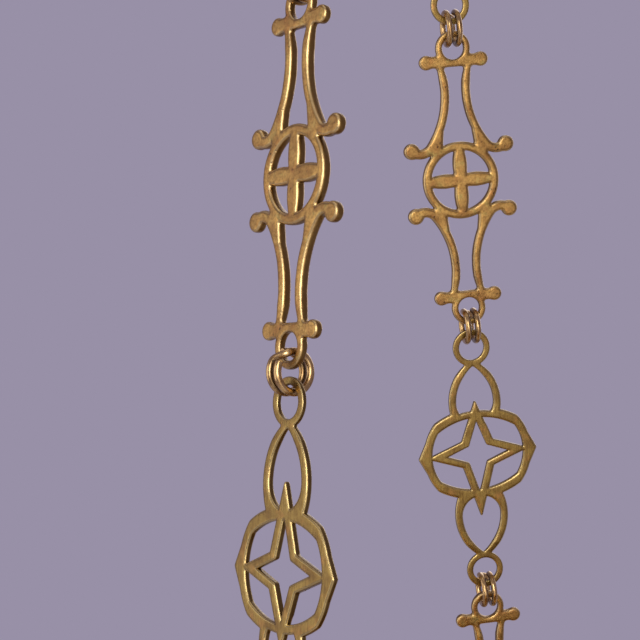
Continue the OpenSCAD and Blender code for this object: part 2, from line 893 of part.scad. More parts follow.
// A spun plate over the bowl's mouth: a flat seat, a slope up, and a flat round the glass.
module cover_plate() {
    seat_in_r = lip_in_r - cover_flat_w;
    boss_r = cup_hole_r + cup_collar_t + cover_flat_w;
    color(brass)
        rotate_extrude()
            polygon([
                [cover_r, rim_z],
                [cover_r, rim_z + cover_t],
                [seat_in_r, rim_z + cover_t],
                [boss_r, cover_top],
                [cup_hole_r, cover_top],
                [cup_hole_r, cover_top - cover_t],
                [boss_r, cover_top - cover_t],
                [seat_in_r, rim_z]
            ]);
}

// A ring soldered under the cover plate, which keeps it centred in the rim ring.
module cover_lip() {
    color(brass)
        rotate_extrude()
            translate([lip_in_r, rim_z - cover_lip_h])
                square([cover_lip_t, cover_lip_h]);
}

// A collar soldered on the cover plate, which the glass hangs in.
module cup_collar() {
    color(brass)
        rotate_extrude()
            translate([cup_hole_r, cover_top])
                square([cup_collar_t, cup_collar_h]);
}

// The glass that holds the oil; it hangs in the collar by its rim.
module oil_glass() {
    bottom = cup_collar_top - glass_h;
    color("#DDE8E2", 0.5)
        rotate_extrude()
            polygon([
                [0, bottom],
                [glass_foot_r, bottom],
                [glass_r, cup_collar_top],
                [glass_rim_r, cup_collar_top],
                [glass_rim_r, glass_top],
                [glass_r - glass_t, glass_top],
                [glass_foot_r - glass_t, bottom + glass_base_t],
                [0, bottom + glass_base_t]
            ]);
}

// A strip across the glass, with turned down ends and a tube for the wick.
module wick_bridge() {
    color(brass)
        difference() {
            union() {
                translate([-bridge_half, -bridge_w / 2, glass_top])
                    cube([2 * bridge_half, bridge_w, bridge_t]);
                both_ends()
                    translate([bridge_half, -bridge_w / 2, bridge_top - bridge_lip])
                        cube([bridge_t, bridge_w, bridge_lip]);
                translate([0, 0, glass_top - tube_down])
                    cylinder(r = tube_r, h = tube_down + bridge_t + tube_up);
            }
            translate([0, 0, glass_top - 2 * tube_down])
                cylinder(r = tube_in_r, h = 4 * tube_down);
        }
}

module cotton_wick() {
    color("#EFE9DA")
        translate([0, 0, wick_bottom])
            cylinder(r = wick_r, h = wick_top - wick_bottom);
}

hanger_eye();
swivel_washer();
swivel_nut();
crown_canopy();
crown_rivets();
for (c = [0 : len(CHAINS) - 1]) {
    crown_lug(c);
    for (i = [0 : RING_COUNT - 1])
        on_chain(c, ring_at(i)) split_ring();
    for (i = [0 : len(LINKS) - 1])
        on_chain(c, link_at(c, i)) {
                if (LINKS[i] == "cross") cross_link();
                if (LINKS[i] == "star") star_link(STAR_LONG_UP[c]);
            }
    bowl_lug(c);
}
bowl_wall();
bowl_dish();
belly_bead();
rim_ring();
bowl_rivets();
bottom_finial();
finial_nut();
cover_plate();
cover_lip();
cup_collar();
oil_glass();
wick_bridge();
cotton_wick();
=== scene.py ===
"""A hanging brass oil lamp on three chains of pierced links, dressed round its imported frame.

Lengths are metres in the lamp's own frame: its hanging hole is the origin and Z points up.
"""

import json
import math

import bpy
from mathutils import Matrix, Quaternion, Vector

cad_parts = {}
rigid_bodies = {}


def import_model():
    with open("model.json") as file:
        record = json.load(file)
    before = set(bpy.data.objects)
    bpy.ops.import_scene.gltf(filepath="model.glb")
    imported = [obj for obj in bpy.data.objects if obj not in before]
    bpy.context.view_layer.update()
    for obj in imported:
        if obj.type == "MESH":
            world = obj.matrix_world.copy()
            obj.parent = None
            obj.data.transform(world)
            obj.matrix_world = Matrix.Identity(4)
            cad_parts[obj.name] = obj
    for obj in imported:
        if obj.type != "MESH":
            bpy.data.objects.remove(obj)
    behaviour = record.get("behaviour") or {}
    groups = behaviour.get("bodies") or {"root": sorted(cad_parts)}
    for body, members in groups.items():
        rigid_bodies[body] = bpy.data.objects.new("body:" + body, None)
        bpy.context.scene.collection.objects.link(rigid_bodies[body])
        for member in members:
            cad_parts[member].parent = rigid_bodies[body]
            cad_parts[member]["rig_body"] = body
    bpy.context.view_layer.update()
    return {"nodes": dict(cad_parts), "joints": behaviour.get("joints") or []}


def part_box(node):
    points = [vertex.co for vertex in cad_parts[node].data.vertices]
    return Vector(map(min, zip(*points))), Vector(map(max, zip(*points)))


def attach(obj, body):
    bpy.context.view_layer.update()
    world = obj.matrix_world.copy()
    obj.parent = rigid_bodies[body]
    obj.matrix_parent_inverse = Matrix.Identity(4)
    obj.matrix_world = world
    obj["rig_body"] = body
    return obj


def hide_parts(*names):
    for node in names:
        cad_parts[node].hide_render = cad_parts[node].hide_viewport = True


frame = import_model()

MM = 0.001
UP = Vector((0, 0, 1))
JOINTS = {joint["name"]: joint for joint in frame["joints"]}

# Chains, and what hangs on each of them from the crown to the bowl
CHAINS = ("front", "right", "left")
RING_NUMBERS = (1, 2, 3, 4, 5, 6)
CROSS_NUMBERS = (1, 3, 5)
STAR_NUMBERS = (2, 4)
# On this chain the star links were strung the other way up
TURNED_CHAIN = "left"

# Camera: where it stands, where it looks in degrees, and its lens
CAMERA_PLACE = Vector((401.5, -406.9, -432.4)) * MM
CAMERA_HEADING = 142.39
CAMERA_TILT = -1.95
CAMERA_ROLL = 5.94
LENS_MM = 90.35
SENSOR_MM = 36
NEAREST = 0.01

# Solids to meshes: which points are one, which faces are flat and which edges are sharp
MERGE_GAP = 0.002 * MM
FLAT_ANGLE = math.radians(0.4)
SHARP_ANGLE = math.radians(32)

# Rounding of edges: its steps, and its width on the plain pieces
EDGE_STEPS = 3
TURNED_EDGE = 0.25 * MM
LUG_EDGE = 0.4 * MM
SPUN_EDGE = 0.35 * MM
GLASS_EDGE = 0.8 * MM

# Links: worn edges, the mesh they are smoothed on, and a casting's uneven faces. A sawn link's
# mesh stays this fine, because a coarser one closes part of the star
CAST_EDGE = 0.8 * MM
CAST_VOXEL = 0.40 * MM
CAST_WAVE = 6 * MM
CAST_WAVE_DEPTH = 0.16 * MM
SAWN_EDGE = 0.4 * MM
SAWN_VOXEL = 0.26 * MM
SMOOTH_SHARE = 0.5
SMOOTHING = 10
SETTLING = 2
# The strips are filled out again after the rounding, away from the eyes that the rings run in
STRIP_FULLNESS = 0.35 * MM
EYE_REACH = 16 * MM
EYE_FADE = 4 * MM
# Shift of the surface pattern from one link to the next, and shifts from chain to chain
PATTERN_SHIFT = Vector((0.37, 0.53, 0.29))
SHIFTS_PER_CHAIN = 6
# Oil film on the chains
FILM_WEIGHT = 0.2
FILM_ROUGHNESS = 0.3

# Split ring: the same wire, turns and step as its solid
WIRE_R = 1.25 * MM
RING_R = 6.4 * MM
TURN_PITCH = 4.0 * MM
FULL_TURN = 360
STEP_ANGLE = 18
CUT_ANGLE = 6
STEP_PLACE = 130
WIRE_POINTS = 132
WIRE_ROUNDNESS = 5
CUT_EDGE = 0.25 * MM

# Wick: strands, their twist and the charred tip
STRANDS = 3
STRAND_R = 1.42 * MM
STRAND_ORBIT = 1.33 * MM
STRAND_PITCH = 13 * MM
STRAND_POINTS = 110
CHAR_LENGTH = 7 * MM
CHAR_WANDER = 4 * MM

# Floor: its shape and height, and where it fades into the room
FLOOR_SIDES = 96
FLOOR_R = 1.35
FLOOR_Z = -1.16
FADE_START = 0.4
FADE_END = 1.3

# Soft lights: place, target, width and height in metres, and radiance
LAMP_MIDDLE = (0, 0, -0.42)
NEAR_CHAIN = (0, -0.1, -0.42)
SOFTBOXES = (
    ("left_window", (-0.75, -1.35, -0.3), LAMP_MIDDLE, 1.5, 1.5, 1.0),
    ("camera_key", (0.75, -0.85, -0.2), NEAR_CHAIN, 0.6, 0.9, 5.0),
    ("low_fill", (1.3, -0.6, -0.9), LAMP_MIDDLE, 0.9, 0.9, 1.1),
    ("back_window", (-0.7, 1.5, 0.1), LAMP_MIDDLE, 1.5, 1.5, 1.1),
    ("top_window", (0, 0, 1.5), LAMP_MIDDLE, 1.6, 1.6, 0.7),
)
# Energy of an area light of one square metre with a radiance of 1
UNIT_ENERGY = 4

# Indices of a colour mix's sockets
FACTOR, COLOR_A, COLOR_B, COLOR_OUT = 0, 6, 7, 2


def linear(code):
    """An sRGB hex value as linear RGBA."""
    values = [int(code[i:i + 2], 16) / 255 for i in (1, 3, 5)]
    return [v / 12.92 if v <= 0.04045 else ((v + 0.055) / 1.055) ** 2.4 for v in values] + [1.0]


def per_mm(size):
    """Texture scale at which one feature is this many millimetres."""
    return 1 / (size * MM)


def add_node(tree, kind, inputs=None, **settings):
    """Adds a node with its settings, and sets or links its inputs."""
    node = tree.nodes.new(kind)
    for name, value in settings.items():
        setattr(node, name, value)
    for key, value in (inputs or {}).items():
        if isinstance(value, bpy.types.NodeSocket):
            tree.links.new(value, node.inputs[key])
        else:
            node.inputs[key].default_value = value
    return node


def start_material(name):
    """A new material with its node tree and its shader."""
    material = bpy.data.materials.new(name)
    material.use_nodes = True
    tree = material.node_tree
    return material, tree, tree.nodes["Principled BSDF"]


def pick(piece):
    """Makes one object the only selected and active one."""
    bpy.ops.object.select_all(action="DESELECT")
    piece.select_set(True)
    bpy.context.view_layer.objects.active = piece


def apply_modifier(piece, kind, **settings):
    """Adds a modifier with its settings and applies it."""
    pick(piece)
    modifier = piece.modifiers.new(kind.lower(), kind)
    for name, value in settings.items():
        setattr(modifier, name, value)
    bpy.ops.object.modifier_apply(modifier=modifier.name)


def merged_copy(node, name):
    """A copy of a CAD solid's mesh, its triangles merged and its flats joined."""
    piece = bpy.data.objects.new(name, frame["nodes"][node].data.copy())
    piece.data.materials.clear()
    bpy.context.scene.collection.objects.link(piece)
    pick(piece)
    bpy.ops.mesh.customdata_custom_splitnormals_clear()
    bpy.ops.object.mode_set(mode="EDIT")
    bpy.ops.mesh.select_all(action="SELECT")
    bpy.ops.mesh.remove_doubles(threshold=MERGE_GAP)
    bpy.ops.mesh.dissolve_limited(angle_limit=FLAT_ANGLE)
    bpy.ops.object.mode_set(mode="OBJECT")
    return piece


def soften(piece, width):
    """Rounds a piece's sharp edges as far as its shortest edge allows, and shades it smooth."""
    pick(piece)
    bpy.ops.object.shade_smooth()
    apply_modifier(piece, "BEVEL", width=width, segments=EDGE_STEPS, limit_method="ANGLE",
                   angle_limit=SHARP_ANGLE, use_clamp_overlap=True, harden_normals=True)


def dress(piece, node, material):
    """Gives a finished piece its material, and lets it stand for its CAD node."""
    piece.data.materials.clear()
    piece.data.materials.append(material)
    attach(piece, frame["nodes"][node]["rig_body"])
    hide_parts(node)


def plate_place(node):
    """Where a link hangs: X along the tangent, Y up the chain, Z outwards through the plate."""
    joint = JOINTS[f"{node}_twist"]
    return chain_place(Vector(joint["pos_m"]), -Vector(joint["axis"]))


def chain_place(centre, along):
    """A chain's own frame at a point, from the way up along the chain there."""
    across = UP.cross(Vector((centre.x, centre.y, 0))).normalized()
    turn = Matrix((across, along, across.cross(along))).transposed()
    return Matrix.Translation(centre) @ turn.to_4x4()


def mark_plate(form, shift):
    """Stores a link's own coordinates, and how far each point turns to the plate's sides."""
    mesh = form.data
    place = mesh.attributes.new("plate", "FLOAT_VECTOR", "POINT")
    place.data.foreach_set("vector", [c for v in mesh.vertices for c in v.co + shift])
    side = mesh.attributes.new("side", "FLOAT", "POINT")
    side.data.foreach_set("value", [1 - abs(v.normal.z) for v in mesh.vertices])


def placed_copy(form, name, place):
    """A copy of a finished form with its own mesh, moved to its place."""
    piece = bpy.data.objects.new(name, form.data.copy())
    bpy.context.scene.collection.objects.link(piece)
    piece.data.transform(place)
    return piece


def fill_strips(form):
    """Swells a link's strips to their full width, and leaves its eyes as they are."""
    heights = [v.co.y for v in form.data.vertices]
    low, high = min(heights) + EYE_REACH, max(heights) - EYE_REACH
    strips = form.vertex_groups.new(name="strips")
    for number, height in enumerate(heights):
        share = min(height - low, high - height) / EYE_FADE
        strips.add([number], min(max(share, 0), 1), "REPLACE")
    apply_modifier(form, "DISPLACE", strength=STRIP_FULLNESS, mid_level=0, vertex_group="strips")


def link_form(node, edge, voxel):
    """One link in its own frame, its edges worn round."""
    form = merged_copy(node, f"{node}_form")
    form.data.transform(plate_place(node).inverted())
    apply_modifier(form, "BEVEL", width=edge, segments=EDGE_STEPS, limit_method="ANGLE",
                   angle_limit=SHARP_ANGLE, use_clamp_overlap=False)
    pick(form)
    form.data.remesh_voxel_size = voxel
    bpy.ops.object.voxel_remesh()
    apply_modifier(form, "SMOOTH", factor=SMOOTH_SHARE, iterations=SMOOTHING)
    fill_strips(form)
    apply_modifier(form, "SMOOTH", factor=SMOOTH_SHARE, iterations=SETTLING)
    pick(form)
    bpy.ops.object.shade_smooth()
    return form


def hang_links(material_cross, material_star):
    """Copies the two link forms along the three chains."""
    waves = bpy.data.textures.new("casting_waves", "CLOUDS")
    waves.noise_scale = CAST_WAVE
    half_turn = Matrix.Rotation(math.pi, 4, "Z")
    cross = link_form("front_cross_3", CAST_EDGE, CAST_VOXEL)
    star = link_form("front_star_2", SAWN_EDGE, SAWN_VOXEL)
    for chain_number, chain in enumerate(CHAINS):
        for number in CROSS_NUMBERS:
            node = f"{chain}_cross_{number}"
            piece = placed_copy(cross, f"{node}_cast", Matrix())
            mark_plate(piece, PATTERN_SHIFT * (SHIFTS_PER_CHAIN * chain_number + number))
            piece.data.transform(plate_place(node))
            apply_modifier(piece, "DISPLACE", texture=waves, texture_coords="LOCAL",
                           strength=CAST_WAVE_DEPTH, mid_level=0.5)
            dress(piece, node, material_cross)
        for number in STAR_NUMBERS:
            node = f"{chain}_star_{number}"
            turn = half_turn if chain == TURNED_CHAIN else Matrix()
            piece = placed_copy(star, f"{node}_sawn", turn)
            mark_plate(piece, PATTERN_SHIFT * (SHIFTS_PER_CHAIN * chain_number + number))
            piece.data.transform(plate_place(node))
            dress(piece, node, material_star)
    bpy.data.objects.remove(cross)
    bpy.data.objects.remove(star)


def wire_line():
    """Points along a split ring's wire, about its axis Z, with one soft step between the turns."""
    first = STEP_ANGLE + CUT_ANGLE
    sweep = 2 * FULL_TURN - 2 * first
    points = []
    for k in range(WIRE_POINTS + 1):
        angle = first + sweep * k / WIRE_POINTS
        share = min(max((angle - FULL_TURN + STEP_ANGLE) / (2 * STEP_ANGLE), 0), 1)
        shift = TURN_PITCH * (0.5 - share * share * (3 - 2 * share))
        turn = math.radians(angle + STEP_PLACE)
        points.append((RING_R * math.cos(turn), RING_R * math.sin(turn), shift))
    return points


def wire_tube(name, points, radius):
    """A round wire along a line of points, as a closed mesh."""
    curve = bpy.data.curves.new(name, "CURVE")
    curve.dimensions = "3D"
    spline = curve.splines.new("POLY")
    spline.points.add(len(points) - 1)
    for point, place in zip(spline.points, points):
        point.co = (*place, 1)
    curve.bevel_depth = radius
    curve.bevel_resolution = WIRE_ROUNDNESS
    curve.use_fill_caps = True
    piece = bpy.data.objects.new(name, curve)
    bpy.context.scene.collection.objects.link(piece)
    pick(piece)
    bpy.ops.object.convert(target="MESH")
    piece = bpy.context.view_layer.objects.active
    bpy.ops.object.mode_set(mode="EDIT")
    bpy.ops.mesh.select_all(action="SELECT")
    bpy.ops.mesh.remove_doubles(threshold=MERGE_GAP)
    bpy.ops.mesh.normals_make_consistent(inside=False)
    bpy.ops.object.mode_set(mode="OBJECT")
    return piece


def ring_form():
    """One two-turn split ring about Z, with cut ends and the groove between its turns marked."""
    form = wire_tube("ring_form", wire_line(), WIRE_R)
    soften(form, CUT_EDGE)
    # The groove mark is where the painted shade between the turns is laid
    groove = form.data.attributes.new("groove", "FLOAT", "FACE")
    groove.data.foreach_set("value", [
        max(0, -face.normal.z * math.copysign(1, face.center.z - face.normal.z * WIRE_R))
        for face in form.data.polygons])
    return form


def hang_rings(material):
    """Copies the split ring to its eighteen places."""
    form = ring_form()
    on_edge = Matrix(((0, 0, 1), (0, 1, 0), (-1, 0, 0))).to_4x4()
    for chain in CHAINS:
        start = Vector(JOINTS[f"{chain}_chain_skew"]["pos_m"])
        along = Vector(JOINTS[f"{chain}_cross_1_twist"]["axis"])
        for number in RING_NUMBERS:
            node = f"{chain}_ring_{number}"
            middle = sum(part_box(node), Vector()) / 2
            centre = start + along * (middle - start).dot(along)
            piece = placed_copy(form, f"{node}_wire", chain_place(centre, -along) @ on_edge)
            dress(piece, node, material)
    bpy.data.objects.remove(form)


def dress_plain(nodes, width, material):
    """Softens copies of plain solids and gives them their material."""
    for node in nodes:
        piece = merged_copy(node, f"{node}_finished")
        soften(piece, width)
        dress(piece, node, material)


def twist_wick(material):
    """A wick of twisted cotton strands in the place of its solid."""
    low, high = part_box("cotton_wick")
    middle = (low + high) / 2
    length = high.z - low.z
    strands = []
    for strand in range(STRANDS):
        points = []
        for k in range(STRAND_POINTS + 1):
            rise = length * k / STRAND_POINTS
            turn = math.tau * (rise / STRAND_PITCH + strand / STRANDS)
            points.append((middle.x + STRAND_ORBIT * math.cos(turn),
                           middle.y + STRAND_ORBIT * math.sin(turn), low.z + rise))
        strands.append(wire_tube(f"wick_strand_{strand}", points, STRAND_R))
    bpy.ops.object.select_all(action="DESELECT")
    for strand in strands:
        strand.select_set(True)
    bpy.context.view_layer.objects.active = strands[0]
    bpy.ops.object.join()
    wick = bpy.context.view_layer.objects.active
    wick.name = "twisted_wick"
    bpy.ops.object.shade_smooth_by_angle(angle=SHARP_ANGLE)
    dress(wick, "cotton_wick", material)


def oil_film(shader):
    """A thin film of lamp oil on the chains, which pales their brightest highlights."""
    shader.inputs["Coat Weight"].default_value = FILM_WEIGHT
    shader.inputs["Coat Roughness"].default_value = FILM_ROUGHNESS


def cast_brass():
    """Old cast brass: ochre faces with a fine sandy grain, copper and green stains and small
    pits, brown tarnish on the sides darkened further as painted shade, and edges worn bright
    by handling, with a painted highlight on them as well. The grain is drawn coarser than
    real moulding sand, so that it shows."""
    material, tree, shader = start_material("cast_brass")
    plate = add_node(tree, "ShaderNodeAttribute", attribute_name="plate").outputs["Vector"]
    side = add_node(tree, "ShaderNodeAttribute", attribute_name="side").outputs["Fac"]
    clouds = add_node(tree, "ShaderNodeTexNoise",
                      {"Vector": plate, "Scale": per_mm(9), "Detail": 4, "Roughness": 0.62})
    cloud_share = add_node(tree, "ShaderNodeMapRange", {
        "Value": clouds.outputs["Fac"], "From Min": 0.4, "From Max": 0.64})
    tone = add_node(tree, "ShaderNodeMix", {
        FACTOR: cloud_share.outputs["Result"], COLOR_A: linear("#B08848"),
        COLOR_B: linear("#8C6634")}, data_type="RGBA")
    stains = add_node(tree, "ShaderNodeTexNoise", {
        "Vector": plate, "Scale": per_mm(4.5), "Detail": 3, "Roughness": 0.55, "Distortion": 0.4})
    copper_share = add_node(tree, "ShaderNodeMapRange", {
        "Value": stains.outputs["Fac"], "From Min": 0.54, "From Max": 0.72, "To Max": 0.55})
    green_share = add_node(tree, "ShaderNodeMapRange", {
        "Value": stains.outputs["Fac"], "From Min": 0.42, "From Max": 0.28, "To Max": 0.5})
    copper = add_node(tree, "ShaderNodeMix", {
        FACTOR: copper_share.outputs["Result"], COLOR_A: tone.outputs[COLOR_OUT],
        COLOR_B: linear("#A9713C")}, data_type="RGBA")
    green = add_node(tree, "ShaderNodeMix", {
        FACTOR: green_share.outputs["Result"], COLOR_A: copper.outputs[COLOR_OUT],
        COLOR_B: linear("#8F8A4E")}, data_type="RGBA")
    grain = add_node(tree, "ShaderNodeTexNoise",
                     {"Vector": plate, "Scale": per_mm(0.9), "Detail": 4, "Roughness": 0.75})
    grain_share = add_node(tree, "ShaderNodeMapRange", {
        "Value": grain.outputs["Fac"], "From Min": 0.44, "From Max": 0.64, "To Max": 0.7})
    grained = add_node(tree, "ShaderNodeMix", {
        FACTOR: grain_share.outputs["Result"], COLOR_A: green.outputs[COLOR_OUT],
        COLOR_B: linear("#70501F")}, data_type="RGBA")
    holes = add_node(tree, "ShaderNodeTexVoronoi", {"Vector": plate, "Scale": per_mm(1.5)})
    hole_depth = add_node(tree, "ShaderNodeMapRange", {
        "Value": holes.outputs["Distance"], "From Min": 0.3, "From Max": 0.12})
    hole_area = add_node(tree, "ShaderNodeMapRange", {
        "Value": clouds.outputs["Fac"], "From Min": 0.55, "From Max": 0.63})
    pits = add_node(tree, "ShaderNodeMath", {
        0: hole_depth.outputs["Result"], 1: hole_area.outputs["Result"]}, operation="MULTIPLY")
    pitted = add_node(tree, "ShaderNodeMix", {
        FACTOR: pits.outputs["Value"], COLOR_A: grained.outputs[COLOR_OUT],
        COLOR_B: linear("#4A3216")}, data_type="RGBA")
    # Sides: brown tarnish, darkened further as painted shade
    wall_share = add_node(tree, "ShaderNodeMapRange", {
        "Value": side, "From Min": 0.45, "From Max": 0.9, "To Max": 0.75})
    tarnish_and_shade = add_node(tree, "ShaderNodeMix", {
        FACTOR: wall_share.outputs["Result"], COLOR_A: pitted.outputs[COLOR_OUT],
        COLOR_B: linear("#745829")}, data_type="RGBA")
    # Edges: worn bright by handling, and paler and brighter still as a painted highlight
    edge_rise = add_node(tree, "ShaderNodeMapRange",
                         {"Value": side, "From Min": 0.04, "From Max": 0.2})
    edge_fall = add_node(tree, "ShaderNodeMapRange",
                         {"Value": side, "From Min": 0.7, "From Max": 0.4, "To Max": 0.55})
    edge_share = add_node(tree, "ShaderNodeMath", {
        0: edge_rise.outputs["Result"], 1: edge_fall.outputs["Result"]}, operation="MULTIPLY")
    worn_and_highlit = add_node(tree, "ShaderNodeMix", {
        FACTOR: edge_share.outputs["Value"], COLOR_A: tarnish_and_shade.outputs[COLOR_OUT],
        COLOR_B: linear("#DABE84")}, data_type="RGBA")
    roughness = add_node(tree, "ShaderNodeMapRange", {
        "Value": clouds.outputs["Fac"], "From Min": 0.3, "From Max": 0.7,
        "To Min": 0.3, "To Max": 0.46})
    fine = add_node(tree, "ShaderNodeBump", {
        "Height": grain.outputs["Fac"], "Strength": 0.6, "Distance": 0.1 * MM})
    sunk = add_node(tree, "ShaderNodeBump", {
        "Height": pits.outputs["Value"], "Normal": fine.outputs["Normal"],
        "Strength": 0.8, "Distance": 0.2 * MM}, invert=True)
    shader.inputs["Metallic"].default_value = 1
    oil_film(shader)
    tree.links.new(worn_and_highlit.outputs[COLOR_OUT], shader.inputs["Base Color"])
    tree.links.new(roughness.outputs["Result"], shader.inputs["Roughness"])
    tree.links.new(sunk.outputs["Normal"], shader.inputs["Normal"])
    return material


def sawn_brass():
    """Sheet brass, sawn out and filed: greener and yellower than the castings, with upright
    file scratches, copper stains, dark sawn sides darkened further as painted shade, and crisp
    bright edges with a painted highlight on them. The scratches are drawn wider than a file
    leaves them, so that they show."""
    material, tree, shader = start_material("sawn_brass")
    plate = add_node(tree, "ShaderNodeAttribute", attribute_name="plate").outputs["Vector"]
    side = add_node(tree, "ShaderNodeAttribute", attribute_name="side").outputs["Fac"]
    clouds = add_node(tree, "ShaderNodeTexNoise",
                      {"Vector": plate, "Scale": per_mm(7), "Detail": 4, "Roughness": 0.6})
    cloud_share = add_node(tree, "ShaderNodeMapRange", {
        "Value": clouds.outputs["Fac"], "From Min": 0.42, "From Max": 0.66})
    tone = add_node(tree, "ShaderNodeMix", {
        FACTOR: cloud_share.outputs["Result"], COLOR_A: linear("#8D7237"),
        COLOR_B: linear("#715527")}, data_type="RGBA")
    stains = add_node(tree, "ShaderNodeTexNoise", {
        "Vector": plate, "Scale": per_mm(5.5), "Detail": 2, "Roughness": 0.5})
    copper_share = add_node(tree, "ShaderNodeMapRange", {
        "Value": stains.outputs["Fac"], "From Min": 0.55, "From Max": 0.74, "To Max": 0.5})
    copper = add_node(tree, "ShaderNodeMix", {
        FACTOR: copper_share.outputs["Result"], COLOR_A: tone.outputs[COLOR_OUT],
        COLOR_B: linear("#AD7741")}, data_type="RGBA")
    stretched = add_node(tree, "ShaderNodeMapping", {
        "Vector": plate, "Scale": (per_mm(0.5), per_mm(6), per_mm(2))})
    scratches = add_node(tree, "ShaderNodeTexNoise", {
        "Vector": stretched.outputs["Vector"], "Scale": 1, "Detail": 3, "Roughness": 0.7,
        "Distortion": 0.5})
    scratch_share = add_node(tree, "ShaderNodeMapRange", {
        "Value": scratches.outputs["Fac"], "From Min": 0.46, "From Max": 0.66, "To Max": 0.75})
    filed = add_node(tree, "ShaderNodeMix", {
        FACTOR: scratch_share.outputs["Result"], COLOR_A: copper.outputs[COLOR_OUT],
        COLOR_B: linear("#6E5222")}, data_type="RGBA")
    # Sides: tarnish of the sawn sides, darkened further as painted shade
    wall_share = add_node(tree, "ShaderNodeMapRange", {
        "Value": side, "From Min": 0.5, "From Max": 0.9, "To Max": 0.82})
    tarnish_and_shade = add_node(tree, "ShaderNodeMix", {
        FACTOR: wall_share.outputs["Result"], COLOR_A: filed.outputs[COLOR_OUT],
        COLOR_B: linear("#6A5228")}, data_type="RGBA")
    # Edges: bright from filing, and paler and brighter still as a painted highlight
    edge_rise = add_node(tree, "ShaderNodeMapRange",
                         {"Value": side, "From Min": 0.02, "From Max": 0.1})
    edge_fall = add_node(tree, "ShaderNodeMapRange",
                         {"Value": side, "From Min": 0.8, "From Max": 0.5, "To Max": 0.55})
    edge_share = add_node(tree, "ShaderNodeMath", {
        0: edge_rise.outputs["Result"], 1: edge_fall.outputs["Result"]}, operation="MULTIPLY")
    worn_and_highlit = add_node(tree, "ShaderNodeMix", {
        FACTOR: edge_share.outputs["Value"], COLOR_A: tarnish_and_shade.outputs[COLOR_OUT],
        COLOR_B: linear("#CFB67A")}, data_type="RGBA")
    roughness = add_node(tree, "ShaderNodeMapRange", {
        "Value": scratches.outputs["Fac"], "From Min": 0.3, "From Max": 0.7,
        "To Min": 0.28, "To Max": 0.42})
    scored = add_node(tree, "ShaderNodeBump", {
        "Height": scratches.outputs["Fac"], "Strength": 0.6, "Distance": 0.08 * MM})
    shader.inputs["Metallic"].default_value = 1
    oil_film(shader)
    tree.links.new(worn_and_highlit.outputs[COLOR_OUT], shader.inputs["Base Color"])
    tree.links.new(roughness.outputs["Result"], shader.inputs["Roughness"])
    tree.links.new(scored.outputs["Normal"], shader.inputs["Normal"])
    return material


def bronze_wire():
    """Drawn bronze wire: warm yellow brown with a close sheen, and darker between its turns
    with oxide and painted shade.
    """
    material, tree, shader = start_material("bronze_wire")
    place = add_node(tree, "ShaderNodeTexCoord").outputs["Object"]
    groove = add_node(tree, "ShaderNodeAttribute", attribute_name="groove").outputs["Fac"]
    clouds = add_node(tree, "ShaderNodeTexNoise",
                      {"Vector": place, "Scale": per_mm(3), "Detail": 4, "Roughness": 0.6})
    cloud_share = add_node(tree, "ShaderNodeMapRange", {
        "Value": clouds.outputs["Fac"], "From Min": 0.38, "From Max": 0.66})
    tone = add_node(tree, "ShaderNodeMix", {
        FACTOR: cloud_share.outputs["Result"], COLOR_A: linear("#C4A26C"),
        COLOR_B: linear("#946E40")}, data_type="RGBA")
    # Between the turns: darker with oxide and with painted shade
    groove_share = add_node(tree, "ShaderNodeMapRange", {
        "Value": groove, "From Min": 0.4, "From Max": 0.95, "To Max": 0.7})
    oxide_and_shade = add_node(tree, "ShaderNodeMix", {
        FACTOR: groove_share.outputs["Result"], COLOR_A: tone.outputs[COLOR_OUT],
        COLOR_B: linear("#2E1E10")}, data_type="RGBA")
    grain = add_node(tree, "ShaderNodeTexNoise",
                     {"Vector": place, "Scale": per_mm(0.4), "Detail": 2})
    drawn = add_node(tree, "ShaderNodeBump", {
        "Height": grain.outputs["Fac"], "Strength": 0.15, "Distance": 0.04 * MM})
    roughness = add_node(tree, "ShaderNodeMapRange", {
        "Value": clouds.outputs["Fac"], "From Min": 0.3, "From Max": 0.7,
        "To Min": 0.22, "To Max": 0.34})
    shader.inputs["Metallic"].default_value = 1
    oil_film(shader)
    tree.links.new(oxide_and_shade.outputs[COLOR_OUT], shader.inputs["Base Color"])
    tree.links.new(roughness.outputs["Result"], shader.inputs["Roughness"])
    tree.links.new(drawn.outputs["Normal"], shader.inputs["Normal"])
    return material


